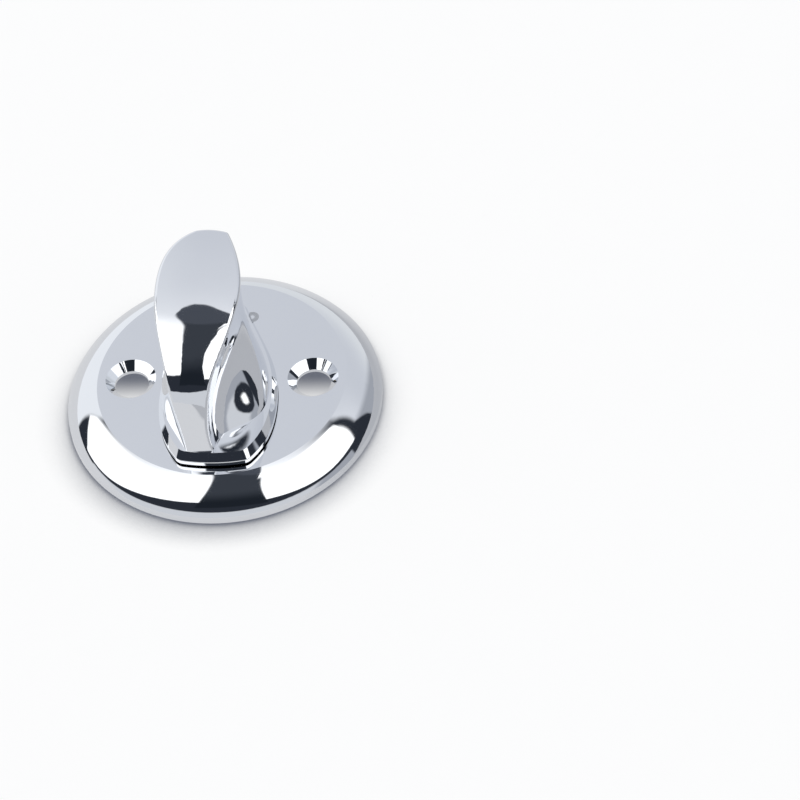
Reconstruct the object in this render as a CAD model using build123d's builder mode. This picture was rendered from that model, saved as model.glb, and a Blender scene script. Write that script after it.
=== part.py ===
from build123d import *
from math import cos, hypot, radians, sin
import os

# Thumb turn for a door cylinder. Millimetres, +Z out of the door.
# The origin is the centre of the rose's back rim, on the door's face.

# Rose: a round hollow cover with a flat face, a convex sloping band and a low upright rim
rose_radius = 26.4
rose_height = 5.8
rose_wall = 2.0
band_thinning = 0.5
rim_height = 1.3
rim_rounding = 0.35
face_radius = 20.9
band_slope = 16.0

# Screw holes, countersunk
screw_spacing = 30.6
screw_hole_radius = 2.9
screw_head_radius = 4.25
screw_cone_depth = 1.4

# Turning shank and the bush that carries it
shank_radius = 5.5
shank_end = 0.4
running_fit = 0.05
turning_gap = 0.1
bush_wall = 1.0
bush_flange_radius = 8.2
bush_flange_thickness = 0.3

# Plate, washers and clip, in order from the rose's roof down
plate_thickness = 0.9
plate_middle_radius = 10.0
plate_ear_radius = 3.2
washer_radius = 8.6
washer_thickness = 0.4
spring_thickness = 0.3
spring_space = 0.75
clip_thickness = 0.6
clip_radius = 7.0
groove_depth = 0.6
clip_mouth = 7.4
clip_corner_rounding = 0.2

# The two rivets that hold the plate to the rose; the far one's flush end shows in the face
rivet_x = 4.0
rivet_y = 13.5
rivet_radius = 0.9
rivet_end_radius = 1.15
rivet_end_depth = 0.3
rivet_head_radius = 1.8
rivet_head_height = 0.6

# Driver insert with the socket for the lock's flat tail bar, and the screw that holds it
driver_radius = 3.9
driver_length = 9.5
driver_recess = 0.3
driver_fit = 0.05
socket_length = 6.0
socket_width = 2.4
socket_bore_radius = 2.3
socket_depth = 7.0
driver_screw_radius = 1.5
driver_screw_length = 6.0
driver_screw_head_radius = 2.1
driver_screw_head_height = 1.6
driver_screw_key = 1.25
driver_screw_key_depth = 1.0

# Foot of the grip: a low collar, full at the nose and slender at the tail
collar_height = 0.7
collar_edge_rounding = 0.25
collar_corner_rounding = 2.0
skirt_height = 1.4
skirt_narrowing = 0.92
skirt_shortening = 0.95

# Crown of the grip: the distance of its middle line from the axis, the radius of its slight
# camber across, and how far the camber's top lies to the left of the middle line
crown_middle = -3.2
crown_camber = 78.0
crown_lean = 1.3
crown_half_width = 13.5
crown_section_count = 9
crown_bottom = -4.0
crown_edge_rounding = 0.6

# Plan outlines of the collar and the grip: height above the foot, right flank and left flank,
# each from nose to tail, then the middle of the nose and of the tail
collar_outline = (
    0.0,
    [(6.0, -18.7), (9.0, -13.4), (9.9, -7.2), (9.2, 0.0), (6.0, 8.2), (2.9, 15.2)],
    [(-5.4, -18.7), (-8.4, -13.6), (-9.7, -7.6), (-9.3, 0.0), (-6.0, 8.4), (-2.9, 15.2)],
    (0.3, -19.3),
    (0.0, 15.8),
)
grip_outlines = [
    (
        -1.4,
        [(3.3, -20.4), (3.4, -15.6), (6.8, -12.2), (8.7, -4.6), (4.9, 8.0), (2.2, 14.7)],
        [(-2.7, -20.4), (-6.1, -15.4), (-8.6, -7.6), (-8.3, -0.2), (-5.0, 8.0), (-2.3, 14.7)],
        (0.3, -20.9),
        (0.0, 15.1),
    ),
    (
        5.6,
        [(0.5, -18.3), (1.3, -12.6), (5.2, -9.2), (7.5, -1.8), (4.0, 8.0), (1.8, 13.8)],
        [(-4.0, -18.3), (-5.9, -13.2), (-8.4, -6.8), (-8.5, 0.0), (-5.6, 8.6), (-2.6, 13.8)],
        (-1.9, -18.7),
        (0.0, 14.2),
    ),
    (
        11.6,
        [(0.6, -15.8), (0.9, -11.8), (2.8, -7.4), (5.7, -0.2), (3.5, 7.6), (1.8, 13.3)],
        [(-5.8, -15.8), (-6.3, -11.8), (-7.4, -5.6), (-7.9, 0.8), (-5.9, 8.8), (-2.8, 13.3)],
        (-2.8, -16.4),
        (0.0, 13.7),
    ),
    (
        16.6,
        [(0.5, -14.6), (1.9, -11.0), (3.7, -5.4), (5.1, 1.0), (3.7, 8.6), (2.1, 13.4)],
        [(-6.4, -14.6), (-7.0, -10.9), (-7.8, -5.4), (-8.3, 0.8), (-6.7, 9.2), (-2.9, 13.5)],
        (-3.0, -15.2),
        (0.0, 13.8),
    ),
    (
        22.1,
        [(0.6, -14.4), (2.3, -10.8), (3.9, -5.2), (5.4, 0.8), (4.4, 8.4), (2.3, 13.6)],
        [(-6.5, -14.4), (-7.6, -9.9), (-8.8, -4.4), (-9.2, 1.8), (-7.8, 9.0), (-3.2, 13.9)],
        (-3.0, -15.0),
        (0.0, 14.1),
    ),
]
# Side view of the crown's ridge, from the nose over the shoulder to the tail: place along
# the grip, height above the face, and the radius in plan that the crown is rounded to there
crown_ridge = [
    (-18.7, 0.2, 60.0),
    (-18.0, 2.6, 60.0),
    (-16.7, 6.7, 26.0),
    (-15.5, 9.9, 12.0),
    (-14.25, 12.5, 9.0),
    (-13.25, 13.9, 8.6),
    (-11.3, 15.95, 8.8),
    (-8.6, 17.9, 14.0),
    (-4.6, 19.65, 60.0),
    (-1.3, 20.4, 200.0),
    (4.0, 21.0, 500.0),
    (9.0, 21.35, 500.0),
    (14.5, 21.5, 500.0),
    (20.0, 21.3, 500.0),
]

face_level = rose_height
roof_level = face_level - rose_wall
plate_level = roof_level - plate_thickness
washer_level = plate_level - washer_thickness
clip_level = washer_level - spring_space
foot_level = face_level + bush_flange_thickness + turning_gap
collar_top = foot_level + collar_height
driver_bottom = shank_end + driver_recess
driver_top = driver_bottom + driver_length
socket_roof = driver_bottom + socket_depth
bush_radius = shank_radius + running_fit + bush_wall
screw_places = Locations((-screw_spacing / 2, 0), (screw_spacing / 2, 0)).local_locations
rivet_places = Locations((rivet_x, rivet_y), (-rivet_x, -rivet_y)).local_locations


# Rose: the outer profile turned round, less the cavity behind it and its holes
def rose_profile(flat_radius, top, outer_radius, bottom):
    """Half section of the cover: flat top, tangent band, upright rim and the axis."""
    slope = radians(band_slope)
    with BuildLine(mode=Mode.PRIVATE) as profile:
        band = TangentArc(
            (flat_radius, top),
            (outer_radius, rim_height * top / face_level),
            tangent=(cos(slope), -sin(slope)),
        )
        Polyline(band @ 1, (outer_radius, bottom), (0, bottom), (0, top), band @ 0)
    return make_face(profile.edges(), mode=Mode.PRIVATE)


with BuildPart() as rose:
    with BuildSketch(Plane.XZ):
        add(rose_profile(face_radius, face_level, rose_radius, 0))
    revolve(axis=Axis.Z)
    rim_corner = rose.edges().filter_by(GeomType.CIRCLE).group_by(SortBy.RADIUS)[-1].sort_by(Axis.Z)[-1]
    fillet(rim_corner, rim_rounding)
    with BuildSketch(Plane.XZ):
        add(rose_profile(face_radius - band_thinning, roof_level, rose_radius - rose_wall, -rim_height))
    revolve(axis=Axis.Z, mode=Mode.SUBTRACT)
    with Locations((0, 0, face_level)):
        Hole(bush_radius)
    with Locations(*[place * Pos(0, 0, face_level) for place in screw_places]):
        Hole(screw_hole_radius)
    with Locations(*[place * Pos(0, 0, face_level - screw_cone_depth / 2) for place in screw_places]):
        Cone(screw_hole_radius, screw_head_radius, screw_cone_depth, mode=Mode.SUBTRACT)
    with Locations(*[place * Pos(0, 0, face_level) for place in rivet_places]):
        CounterBoreHole(rivet_radius, rivet_end_radius, rivet_end_depth)

# Bearing plate: a pressed plate against the roof, with an ear at each rivet
with BuildPart() as bearing_plate:
    with BuildSketch(Plane.XY.offset(plate_level)):
        Circle(plate_middle_radius)
        with Locations(*rivet_places):
            Circle(plate_ear_radius)
        make_hull()
        Circle(bush_radius, mode=Mode.SUBTRACT)
        with Locations(*rivet_places):
            Circle(rivet_radius, mode=Mode.SUBTRACT)
    extrude(amount=plate_thickness)

# Flanged bush through the rose and the plate
with BuildPart() as bearing_bush:
    with BuildSketch(Plane.XY.offset(plate_level)):
        Circle(bush_radius)
        Circle(shank_radius + running_fit, mode=Mode.SUBTRACT)
    extrude(amount=face_level - plate_level)
    with BuildSketch(Plane.XY.offset(face_level)):
        Circle(bush_flange_radius)
        Circle(shank_radius + running_fit, mode=Mode.SUBTRACT)
    extrude(amount=bush_flange_thickness)


# Rivets: a flush end in the face, a shank through both plates and a domed head behind
def make_rivet(place):
    """One rivet at a place given in plan."""
    slant = rivet_head_radius * sin(radians(45)), plate_level - rivet_head_height * cos(radians(45))
    with BuildPart() as rivet:
        with BuildSketch(Plane.XZ):
            with BuildLine():
                Polyline(
                    (0, plate_level - rivet_head_height),
                    (0, face_level),
                    (rivet_end_radius, face_level),
                    (rivet_end_radius, face_level - rivet_end_depth),
                    (rivet_radius, face_level - rivet_end_depth),
                    (rivet_radius, plate_level),
                    (rivet_head_radius, plate_level),
                )
                ThreePointArc(
                    (0, plate_level - rivet_head_height), slant, (rivet_head_radius, plate_level)
                )
            make_face()
        revolve(axis=Axis.Z)
    return place * rivet.part


rivet_far, rivet_near = [make_rivet(place) for place in rivet_places]

# Thrust washer under the plate
with BuildPart() as thrust_washer:
    with BuildSketch(Plane.XY.offset(washer_level)):
        Circle(washer_radius)
        Circle(shank_radius + running_fit, mode=Mode.SUBTRACT)
    extrude(amount=washer_thickness)

# Curved spring washer between the thrust washer and the clip, bowed about the Y axis
with BuildPart() as spring_washer:
    bow = spring_space - spring_thickness - turning_gap
    with BuildSketch(Plane.XZ):
        with BuildLine():
            lower = ThreePointArc(
                (-washer_radius, clip_level), (0, clip_level + bow), (washer_radius, clip_level)
            )
            upper_edge = clip_level + spring_thickness
            upper = ThreePointArc(
                (washer_radius, upper_edge), (0, upper_edge + bow), (-washer_radius, upper_edge)
            )
            Line(lower @ 1, upper @ 0)
            Line(upper @ 1, lower @ 0)
        make_face()
    extrude(amount=washer_radius, both=True)
    with BuildSketch(Plane.XY.offset(clip_level)):
        Circle(washer_radius - running_fit)
        Circle(shank_radius + turning_gap, mode=Mode.SUBTRACT)
    extrude(amount=spring_space, mode=Mode.INTERSECT)

# Retaining clip in the shank's groove, open on one side
with BuildPart() as circlip:
    with BuildSketch(Plane.XY.offset(clip_level - clip_thickness)):
        Circle(clip_radius)
        Circle(shank_radius - groove_depth + running_fit, mode=Mode.SUBTRACT)
        with Locations((0, clip_radius)):
            Rectangle(clip_mouth, 2 * clip_radius, mode=Mode.SUBTRACT)
    extrude(amount=clip_thickness)
    fillet(circlip.edges().filter_by(Axis.Z), clip_corner_rounding)


# Thumb turn: the grip, its collar and its shank are one casting
def plan_face(height, right, left, nose, tail):
    """Closed plan outline with two curved flanks and a rounded nose and tail."""
    with BuildSketch(Plane.XY.offset(foot_level + height), mode=Mode.PRIVATE) as plan:
        with BuildLine():
            Spline(*right)
            ThreePointArc(right[-1], tail, left[-1])
            Spline(*reversed(left))
            ThreePointArc(left[0], nose, right[0])
        make_face()
    return plan.sketch


def crown_section(offset):
    """Side view of the crown at a distance from its middle line, closed below."""
    points = [
        (
            along + hypot(radius, offset) - radius,
            face_level + height - (offset + crown_lean) ** 2 / (2 * crown_camber),
        )
        for along, height, radius in crown_ridge
    ]
    with BuildSketch(Plane.YZ.offset(crown_middle + offset), mode=Mode.PRIVATE) as section:
        with BuildLine():
            ridge = Spline(*points)
            Polyline(ridge @ 1, (points[-1][0], crown_bottom), (points[0][0], crown_bottom), ridge @ 0)
        make_face()
    return section.sketch


section_step = 2 * crown_half_width / (crown_section_count - 1)
with BuildPart() as crown:
    for index in range(crown_section_count):
        add(crown_section(index * section_step - crown_half_width))
    loft()


def foot_face(height, narrowing, shortening):
    """The collar's outline with rounded corners, drawn in towards the shank."""
    with BuildSketch(Plane.XY.offset(foot_level + height), mode=Mode.PRIVATE) as plan:
        add(scale(plan_face(*collar_outline), by=(narrowing, shortening, 1), mode=Mode.PRIVATE))
        fillet(plan.vertices(), collar_corner_rounding)
    return plan.sketch


with BuildPart() as collar:
    extrude(foot_face(0, 1, 1), amount=collar_height)
    loft(
        [
            foot_face(collar_height, 1, 1).face(),
            foot_face(collar_height + skirt_height, skirt_narrowing, skirt_shortening).face(),
        ],
        ruled=True,
    )
    waist_edges = collar.edges().filter_by_position(
        Axis.Z, foot_level + collar_height / 2, collar_top + skirt_height / 2, inclusive=(False, False)
    )
    fillet(waist_edges, collar_edge_rounding)

with BuildPart() as thumb_turn:
    for outline in grip_outlines:
        add(plan_face(*outline))
    loft()
    add(crown.part, mode=Mode.INTERSECT)
    crown_edges = thumb_turn.edges().filter_by(lambda edge: edge.bounding_box().max.Z > collar_top)
    fillet(crown_edges, crown_edge_rounding)
    split(bisect_by=Plane.XY.offset(foot_level))
    add(collar.part)
    with BuildSketch(Plane.XY.offset(shank_end)):
        Circle(shank_radius)
    extrude(until=Until.NEXT)
    with BuildSketch(Plane.XY.offset(clip_level - clip_thickness - running_fit)):
        Circle(shank_radius)
        Circle(shank_radius - groove_depth, mode=Mode.SUBTRACT)
    extrude(amount=clip_thickness + 2 * running_fit, mode=Mode.SUBTRACT)
    with BuildSketch(Plane.XY.offset(shank_end)):
        Circle(driver_radius + driver_fit)
    extrude(amount=driver_recess + driver_length, mode=Mode.SUBTRACT)
    with BuildSketch(Plane.XY.offset(driver_top)):
        Circle(driver_screw_radius)
    extrude(amount=driver_screw_length, mode=Mode.SUBTRACT)

# Driver: a round insert with a slot and bore for the tail bar, and a screw through its floor
with BuildPart() as driver:
    with BuildSketch(Plane.XY.offset(driver_bottom)):
        Circle(driver_radius)
    extrude(amount=driver_length)
    with BuildSketch(Plane.XY.offset(driver_bottom)):
        Circle(socket_bore_radius)
        Rectangle(socket_length, socket_width)
    extrude(amount=socket_depth, mode=Mode.SUBTRACT)
    with BuildSketch(Plane.XY.offset(driver_bottom)):
        Circle(driver_screw_radius)
    extrude(amount=driver_length, mode=Mode.SUBTRACT)

with BuildPart() as driver_screw:
    with BuildSketch(Plane.XY.offset(socket_roof - driver_screw_head_height)):
        Circle(driver_screw_head_radius)
    extrude(amount=driver_screw_head_height)
    with BuildSketch(Plane.XY.offset(socket_roof)):
        Circle(driver_screw_radius - running_fit)
    extrude(amount=driver_screw_length)
    with BuildSketch(Plane.XY.offset(socket_roof - driver_screw_head_height)):
        RegularPolygon(driver_screw_key, 6, major_radius=False)
    extrude(amount=driver_screw_key_depth, mode=Mode.SUBTRACT)

os.makedirs("parts", exist_ok=True)

rose.part.label = "rose"
export_step(rose.part, "parts/rose.step")

bearing_plate.part.label = "bearing_plate"
export_step(bearing_plate.part, "parts/bearing_plate.step")

bearing_bush.part.label = "bearing_bush"
export_step(bearing_bush.part, "parts/bearing_bush.step")

rivet_far.label = "rivet_far"
export_step(rivet_far, "parts/rivet_far.step")

rivet_near.label = "rivet_near"
export_step(rivet_near, "parts/rivet_near.step")

thrust_washer.part.label = "thrust_washer"
export_step(thrust_washer.part, "parts/thrust_washer.step")

spring_washer.part.label = "spring_washer"
export_step(spring_washer.part, "parts/spring_washer.step")

circlip.part.label = "circlip"
export_step(circlip.part, "parts/circlip.step")

thumb_turn.part.label = "thumb_turn"
export_step(thumb_turn.part, "parts/thumb_turn.step")

driver.part.label = "driver"
export_step(driver.part, "parts/driver.step")

driver_screw.part.label = "driver_screw"
export_step(driver_screw.part, "parts/driver_screw.step")
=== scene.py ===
import bmesh
import bpy
from math import radians
from mathutils import Matrix, Vector

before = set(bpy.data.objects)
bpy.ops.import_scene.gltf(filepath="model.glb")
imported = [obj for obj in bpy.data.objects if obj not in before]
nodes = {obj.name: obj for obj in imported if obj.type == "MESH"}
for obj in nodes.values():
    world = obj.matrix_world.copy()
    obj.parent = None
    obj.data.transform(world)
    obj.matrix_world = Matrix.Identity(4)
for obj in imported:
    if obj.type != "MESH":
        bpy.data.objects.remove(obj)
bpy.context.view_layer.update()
print("frame loaded:", len(nodes), "nodes")

scene = bpy.context.scene
scene.view_settings.view_transform = "Standard"


# a node socket that can be added, multiplied and so on; make() adds any other node
class Socket:
    def __init__(self, tree, link=None):
        self.tree = tree
        self.link = link

    def make(self, kind, settings=None, inputs=None, output=0):
        node = self.tree.nodes.new("ShaderNode" + kind)
        for name, value in (settings or {}).items():
            setattr(node, name, value)
        for name, value in (inputs or {}).items():
            socket = node.inputs[name]
            if isinstance(value, Socket):
                self.tree.links.new(value.link, socket)
            else:
                socket.default_value = value
        return Socket(self.tree, node.outputs[output])

    def maths(self, operation, *values):
        return self.make("Math", {"operation": operation}, dict(enumerate((self, *values))))

    def __add__(self, other):
        return self.maths("ADD", other)

    __radd__ = __add__

    def __mul__(self, other):
        return self.maths("MULTIPLY", other)

    __rmul__ = __mul__

    def __sub__(self, other):
        return self.maths("SUBTRACT", other)

    def __rsub__(self, other):
        return (self * -1) + other

    def __truediv__(self, other):
        return self.maths("DIVIDE", other)

    def __pow__(self, other):
        return self.maths("POWER", other)

    def __abs__(self):
        return self.maths("ABSOLUTE")

    def clamp(self):
        return self.maths("MAXIMUM", 0.0).maths("MINIMUM", 1.0)

    # 0 below low, 1 above high, smooth between
    def step(self, low, high):
        inputs = {"Value": self, "From Min": low, "From Max": high}
        return self.make("MapRange", {"interpolation_type": "SMOOTHSTEP"}, inputs)

    # 1 where the value is under the limit, 0 over it, with an edge this soft
    def under(self, limit, soft):
        return 1.0 - (self - limit).step(-soft, soft)

    # number between two others, the socket being the share of the second
    def between(self, first, second):
        return first + self * (second - first)

    # the same for two colours
    def blend(self, first, second):
        inputs = {"Factor": self}
        for slot, value in ((6, first), (7, second)):
            inputs[slot] = value if isinstance(value, Socket) else (*value, 1.0)
        return self.make("Mix", {"data_type": "RGBA"}, inputs, 2)

    def xyz(self):
        outputs = self.make("SeparateXYZ", None, {"Vector": self}).link.node.outputs
        return [Socket(self.tree, output) for output in outputs]

    # noise at the places that the socket gives
    def noise(self, settings):
        return self.make("TexNoise", None, {"Vector": self, **settings})


def join(socket, target):
    socket.tree.links.new(socket.link, target)


# camera: a long lens at the photograph's angle
camera = {
    "spot": (0.096621, -0.431793, 0.503658),
    "aim": (0.029349, -0.000229, 0.0),
    "roll": -7.241,
    "lens": 180.0,
    "sensor": 36.0,
}
cameraData = bpy.data.cameras.new("camera")
cameraData.lens = camera["lens"]
cameraData.sensor_width = camera["sensor"]
cameraObject = bpy.data.objects.new("camera", cameraData)
scene.collection.objects.link(cameraObject)
spot = Vector(camera["spot"])
look = (Vector(camera["aim"]) - spot).to_track_quat("-Z", "Y").to_matrix().to_4x4()
roll = Matrix.Rotation(radians(camera["roll"]), 4, "Z")
cameraObject.matrix_world = Matrix.Translation(spot) @ look @ roll
scene.camera = cameraObject
print("camera set")


# studio: two big soft boxes overhead with a dark gap between them, a pale backdrop behind them and
# a table in front; each tone is the light that comes from there
studio = {
    "box": (1.6, 1.6, 1.6),
    "dark": (0.026, 0.031, 0.042),
    "gap": (0.047, 0.054, 0.067),
    "gapNear": (0.014, 0.018, 0.025),
    "gapFar": (0.073, 0.082, 0.102),
    "backdrop": (0.665, 0.69, 0.745),
    "backdropNear": (0.89, 0.91, 0.95),
    "backdropLeft": (0.96, 0.985, 1.02),
    "backdropFar": (0.80, 0.825, 0.85),
    "sideWall": (0.40, 0.42, 0.465),
    "table": (0.70, 0.72, 0.755),
    "crisp": 0.006,
    "soft": 0.02,
    "lowest": -0.6,
}
crisp = studio["crisp"]
soft = studio["soft"]
world = bpy.data.worlds.new("studio")
scene.world = world
world.use_nodes = True
world.node_tree.nodes.clear()
sky = Socket(world.node_tree)
east, north, high = sky.make("TexCoord", None, None, "Generated").xyz()
# the sky dome laid flat: the zenith is at 0, 0, the horizon is the unit circle and the camera's side
# is -along; places and widths below are measured on it, near is the camera's side and far is away
lift = high.maths("MAXIMUM", studio["lowest"]) + 1.0
across = east / lift
along = north / lift
aside = abs(across)

# outward is 0 in the strip overhead and 1 at both sides of it; values are for the left and the right
strip = {"inner": (0.18, 0.12), "outer": (0.42, 0.25)}
onRight = across.step(-crisp, crisp)
outward = aside.step(onRight.between(*strip["inner"]), onRight.between(*strip["outer"]))

# backdrop: brighter by the boxes, to the left and at the horizon, with the side wall at its right
backdropPlan = {
    "leftEdge": 0.19,
    "leftFall": 0.2,
    "rightEdge": 0.225,
    "rightFall": 0.035,
    "corner": 0.57,
    "cornerRise": 0.75,
    "middleFade": (-0.27, -0.25),
    "nearFade": (0.07, 0.41),
    "farFade": (0.45, 0.85),
    "leftLimit": -0.17,
    "leftSoft": 0.12,
    "wallFade": (0.5, 0.66),
}
edgeLeft = backdropPlan["leftEdge"] - across * backdropPlan["leftFall"]
pastCorner = (across - backdropPlan["corner"]).maths("MAXIMUM", 0.0)
edgeRight = backdropPlan["rightEdge"] - across * backdropPlan["rightFall"]
edgeRight = edgeRight + pastCorner * backdropPlan["cornerRise"]
middle = (1.0 - outward) * along.step(*backdropPlan["middleFade"])
behind = (1.0 - along.under(onRight.between(edgeLeft, edgeRight), soft)).maths("MAXIMUM", middle)
backdrop = along.step(*backdropPlan["nearFade"]).blend(studio["backdropNear"], studio["backdrop"])
backdrop = along.step(*backdropPlan["farFade"]).blend(backdrop, studio["backdropFar"])
onLeft = across.under(backdropPlan["leftLimit"], backdropPlan["leftSoft"])
backdrop = onLeft.blend(backdrop, studio["backdropLeft"])
backdrop = across.step(*backdropPlan["wallFade"]).blend(backdrop, studio["sideWall"])

# the two boxes: width, centre and depth of each, with a far edge that is soft in the middle and firm
# at the sides
boxPlan = {
    "left": (0.93, 0.1, 0.585),
    "right": (0.78, -0.02, 0.53),
    "roundness": 2.5,
    "rim": 0.04,
    "leftFar": 0.5395,
    "leftRise": 0.444,
    "rightFar": 0.22,
    "rightFall": 0.16,
    "middleFar": 0.02,
    "middleFade": 0.13,
    "sideFade": 0.012,
}


def roundedBox(width, centre, depth):
    sideways = abs(across / width) ** boxPlan["roundness"]
    outline = sideways + abs((along - centre) / depth) ** boxPlan["roundness"]
    return outline.under(1.0, boxPlan["rim"])


farLeft = (across * boxPlan["leftRise"] + boxPlan["leftFar"]).maths("MINIMUM", edgeLeft)
farRight = boxPlan["rightFar"] - across * boxPlan["rightFall"]
boxFar = outward.between(boxPlan["middleFar"], onRight.between(farLeft, farRight))
boxFade = outward.between(boxPlan["middleFade"], boxPlan["sideFade"])
lit = 1.0 - ((along - boxFar) / boxFade).step(-1.0, 1.0)
boxes = onRight.between(roundedBox(*boxPlan["left"]), roundedBox(*boxPlan["right"])) * lit

# the dark gap between them: curved sides, an arch at its far end and a lighter tone inside the arch
gapPlan = {
    "left": -0.067,
    "leftSlope": 0.03,
    "shoulder": 0.022,
    "shoulderFade": (0.0, 0.12),
    "right": 0.076,
    "rightSlope": 0.2,
    "bow": 0.34,
    "arch": 0.19,
    "archMiddle": -0.045,
    "archSteepness": (34.0, 17.0),
    "archTurn": 0.01,
    "archFoot": -0.1,
    "footSoft": 0.03,
    "nearEnd": (-0.62, -0.6),
    "farEdge": 0.05,
    "farStart": -0.09,
    "farPower": 1.3,
    "farSoft": 0.012,
    "nearEdge": -0.38,
    "nearSoft": 0.12,
}
bow = along * along * gapPlan["bow"]
leftSide = along * gapPlan["leftSlope"] - bow + gapPlan["left"]
leftSide = leftSide - along.step(*gapPlan["shoulderFade"]) * gapPlan["shoulder"]
rightSide = gapPlan["right"] - along * gapPlan["rightSlope"] + bow
offMiddle = across - gapPlan["archMiddle"]
pastMiddle = offMiddle.step(-gapPlan["archTurn"], gapPlan["archTurn"])
archFall = offMiddle * offMiddle * pastMiddle.between(*gapPlan["archSteepness"])
arch = along.under(gapPlan["arch"] - archFall, crisp)
arch = arch.maths("MAXIMUM", along.under(gapPlan["archFoot"], gapPlan["footSoft"]))
gap = (across - leftSide).step(-crisp, crisp) * across.under(rightSide, crisp)
gap = gap * arch * along.step(*gapPlan["nearEnd"])
pastStart = (across - gapPlan["farStart"]).maths("MAXIMUM", 0.0)
farLine = gapPlan["farEdge"] - pastStart ** gapPlan["farPower"]
gapColour = (1.0 - along.under(farLine, gapPlan["farSoft"])).blend(studio["gap"], studio["gapFar"])
inNearEnd = along.under(gapPlan["nearEdge"], gapPlan["nearSoft"])
gapColour = inNearEnd.blend(gapColour, studio["gapNear"])

# the table outside an oval on the camera's side, with the dark room between it and the boxes; each
# width is for the left and the right, and the table passes into the side wall at its right
tablePlan = {"width": (0.97, 0.87), "depth": 0.745, "rim": (0.97, 1.03), "wallFade": (0.7, 0.8)}
oval = (across / onRight.between(*tablePlan["width"])) ** 2.0 + (along / tablePlan["depth"]) ** 2.0
front = oval.step(*tablePlan["rim"]) * along.under(0.0, soft)
table = across.step(*tablePlan["wallFade"]).blend(studio["table"], studio["sideWall"])

colour = front.blend(studio["dark"], table)
colour = behind.blend(colour, backdrop)
colour = boxes.blend(colour, studio["box"])
colour = gap.blend(colour, gapColour)
seenDirect = sky.make("LightPath", None, None, "Is Camera Ray")
colour = seenDirect.blend(colour, (1.0, 1.0, 1.0))
light = sky.make("Background", None, {"Color": colour, "Strength": 1.0})
output = world.node_tree.nodes.new("ShaderNodeOutputWorld")
join(light, output.inputs["Surface"])
print("studio lit")


# floor: a pale sheet under the part, whose soft shadow is mostly painted shade, an ambient occlusion
# term drawn into its glow, and partly real in its matt share
floor = {
    "half": 3.0,
    "paper": ((0.90, 0.91, 0.92), (0.93, 0.94, 0.95)),
    "grain": {"Scale": 150.0, "Detail": 3.0},
    "glow": 1.0,
    "share": 0.8,
    "shade": (0.0, 0.014, 0.06),
    "shadowReach": 0.006,
    "shadowLean": (0.0, 0.55, 0.84),
    "shadowSamples": 10,
    "shadowDeepest": 0.43,
    "shadowSpan": 0.5,
    "hidden": 0.022,
    "hiddenRim": 0.00005,
    "holeFade": (-0.001, 0.0055),
    "holePaintedShade": (0.95, 0.12),
    "metalFade": (0.01, 0.036),
    "mirroredShadeTone": (0.72, 0.42),
}
floorMesh = bpy.data.meshes.new("floor")
grid = bmesh.new()
bmesh.ops.create_grid(grid, x_segments=1, y_segments=1, size=floor["half"])
grid.to_mesh(floorMesh)
grid.free()
floorObject = bpy.data.objects.new("floor", floorMesh)
scene.collection.objects.link(floorObject)
floorMaterial = bpy.data.materials.new("paleSheet")
floorMaterial.use_nodes = True
floorMaterial.node_tree.nodes.clear()
sheet = Socket(floorMaterial.node_tree)
seenDirect = sheet.make("LightPath", None, None, "Is Camera Ray")
seenMetal = sheet.make("LightPath", None, None, "Is Glossy Ray")
place = sheet.make("TexCoord", None, None, "Object")
east, north = place.xyz()[:2]
matt = sheet.make("BsdfDiffuse", None, {"Color": place.noise(floor["grain"]).blend(*floor["paper"])})
# painted shadow: an ambient occlusion term with its hemisphere leant away from the camera, so the
# painted shade falls towards the camera, as with a light from behind
lean = sheet.make("CombineXYZ", None, dict(enumerate(floor["shadowLean"])))
nearby = {"Distance": floor["shadowReach"], "Normal": lean}
paintedOpenness = sheet.make("AmbientOcclusion", {"samples": floor["shadowSamples"]}, nearby, "AO")
paintedOpenness = ((paintedOpenness - floor["shadowDeepest"]) / floor["shadowSpan"]).clamp()
# under the rose the sheet shows only in the screw holes, where a painted shade darkens it towards
# their far side
underRose = (east ** 2.0 + north ** 2.0).under(floor["hidden"] ** 2, floor["hiddenRim"])
paintedOpenness = underRose.between(paintedOpenness, north.step(*floor["holeFade"]).between(*floor["holePaintedShade"]))
# mirrored in metal it has a painted shade that darkens it to the right
mirroredPaintedShade = east.step(*floor["metalFade"]).between(*floor["mirroredShadeTone"])
# the glow's colour: white, darkened by the painted shade above for camera and glossy rays
tone = (seenDirect * paintedOpenness + seenMetal * mirroredPaintedShade).clamp().blend(floor["shade"], (1.0, 1.0, 1.0))
glow = sheet.make("Emission", None, {"Color": tone, "Strength": floor["glow"]})
share = (seenDirect + seenMetal).clamp() * floor["share"]
mixed = sheet.make("MixShader", None, {0: share, 1: matt, 2: glow})
output = floorMaterial.node_tree.nodes.new("ShaderNodeOutputMaterial")
join(mixed, output.inputs["Surface"])
floorMesh.materials.append(floorMaterial)
print("floor laid")


def newMaterial(name):
    material = bpy.data.materials.new(name)
    material.use_nodes = True
    tree = material.node_tree
    tree.nodes.clear()
    shader = tree.nodes.new("ShaderNodeBsdfPrincipled")
    shader.inputs["Metallic"].default_value = 1.0
    output = tree.nodes.new("ShaderNodeOutputMaterial")
    tree.links.new(shader.outputs[0], output.inputs["Surface"])
    return material, shader, Socket(tree).make("TexCoord", None, None, "Object")


# polished chrome plate: a clean mirror with a trace of polishing lines and handling haze
chrome = {
    "low": (0.80, 0.815, 0.845),
    "high": (0.83, 0.845, 0.87),
    "cloud": {"Scale": 60.0, "Detail": 4.0, "Roughness": 0.6},
    "fine": {"Scale": 900.0, "Detail": 2.0},
    "swell": {"Scale": 90.0, "Detail": 1.0},
    "roughness": 0.03,
    "haze": 0.03,
    "hazeFade": (0.55, 0.8),
    "fineHaze": 0.01,
    "ripple": 0.02,
    "rippleHeight": 0.0002,
}


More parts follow.
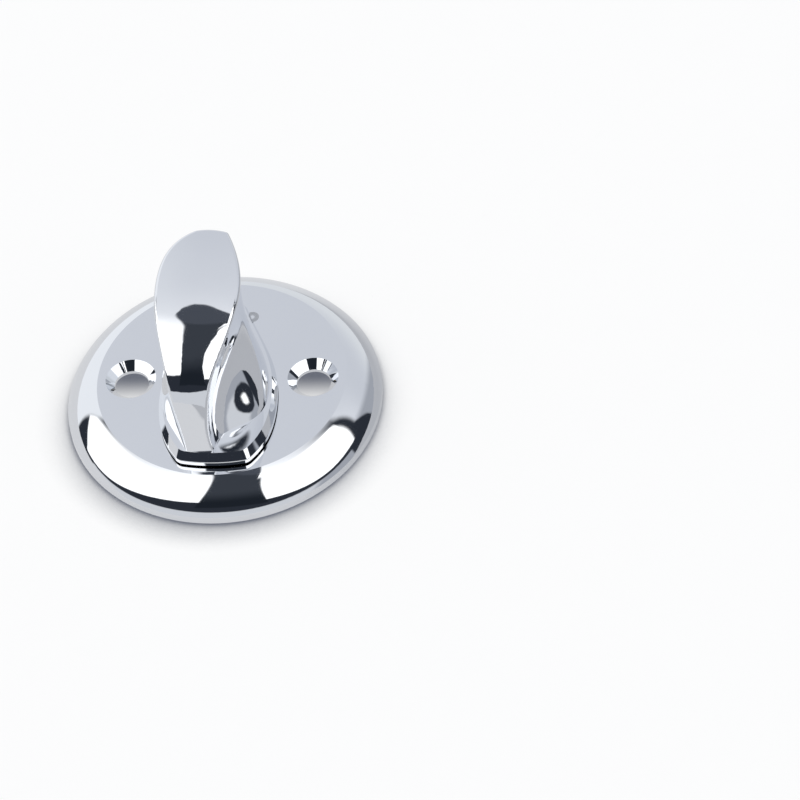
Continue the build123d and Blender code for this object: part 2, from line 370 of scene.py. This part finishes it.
def chromePlate():
    material, shader, place = newMaterial("chromePlate")
    cloud = place.noise(chrome["cloud"])
    join(cloud.blend(chrome["low"], chrome["high"]), shader.inputs["Base Color"])
    fineHaze = place.noise(chrome["fine"]) * chrome["fineHaze"]
    haze = cloud.step(*chrome["hazeFade"]) * chrome["haze"] + fineHaze
    join(haze + chrome["roughness"], shader.inputs["Roughness"])
    swell = place.noise(chrome["swell"])
    ripple = {"Strength": chrome["ripple"], "Distance": chrome["rippleHeight"], "Height": swell}
    join(place.make("Bump", None, ripple), shader.inputs["Normal"])
    return material


# plain metals of the hidden pieces: cloudy tone and a fine grain
grained = {
    "cloudDetail": 5.0,
    "fineDetail": 2.0,
    "fineRatio": 12.0,
    "cloudy": 0.12,
    "grainy": 0.08,
    "bump": 0.12,
    "bumpHeight": 0.0001,
}
zincSteel = {"low": (0.55, 0.56, 0.58), "high": (0.68, 0.69, 0.71), "roughness": 0.26, "scale": 220.0}
springSteel = {"low": (0.16, 0.17, 0.2), "high": (0.27, 0.28, 0.31), "roughness": 0.28, "scale": 260.0}
turnedBrass = {"low": (0.62, 0.47, 0.21), "high": (0.76, 0.6, 0.3), "roughness": 0.22, "scale": 200.0}


def plainMetal(name, metal):
    material, shader, place = newMaterial(name)
    cloud = place.noise({"Scale": metal["scale"], "Detail": grained["cloudDetail"]})
    fineScale = metal["scale"] * grained["fineRatio"]
    fine = place.noise({"Scale": fineScale, "Detail": grained["fineDetail"]})
    join(cloud.blend(metal["low"], metal["high"]), shader.inputs["Base Color"])
    roughness = cloud * grained["cloudy"] + fine * grained["grainy"] + metal["roughness"]
    join(roughness, shader.inputs["Roughness"])
    grain = {"Strength": grained["bump"], "Distance": grained["bumpHeight"], "Height": fine}
    join(place.make("Bump", None, grain), shader.inputs["Normal"])
    return material


# rivet ends ground flush: a dull ring round a bright middle
rivetFinish = {
    "centre": (0.004, 0.0135),
    "bright": 0.0004,
    "brightRim": 0.00015,
    "low": (0.42, 0.43, 0.45),
    "high": (0.52, 0.53, 0.55),
    "cloud": {"Scale": 700.0, "Detail": 3.0},
    "roughness": (0.3, 0.06),
    "cloudy": 0.05,
}


def rivetEnd():
    material, shader, place = newMaterial("rivetEnd")
    east, north = place.xyz()[:2]
    centre = rivetFinish["centre"]
    radius = ((abs(east) - centre[0]) ** 2.0 + (abs(north) - centre[1]) ** 2.0).maths("SQRT")
    bright = radius.under(rivetFinish["bright"], rivetFinish["brightRim"])
    cloud = place.noise(rivetFinish["cloud"])
    dull = cloud.blend(rivetFinish["low"], rivetFinish["high"])
    join(bright.blend(dull, chrome["high"]), shader.inputs["Base Color"])
    roughness = bright.between(*rivetFinish["roughness"]) + cloud * rivetFinish["cloudy"]
    join(roughness, shader.inputs["Roughness"])
    return material


plate = chromePlate()
rivet = rivetEnd()
zinc = plainMetal("zincSteel", zincSteel)
spring = plainMetal("springSteel", springSteel)
brass = plainMetal("turnedBrass", turnedBrass)
finishes = {
    "rose": plate,
    "thumb_turn": plate,
    "bearing_plate": zinc,
    "bearing_bush": zinc,
    "rivet_far": rivet,
    "rivet_near": rivet,
    "thrust_washer": brass,
    "spring_washer": spring,
    "circlip": spring,
    "driver": brass,
    "driver_screw": zinc,
}
for name, material in finishes.items():
    mesh = nodes[name].data
    mesh.materials.clear()
    mesh.materials.append(material)
print("metals made")
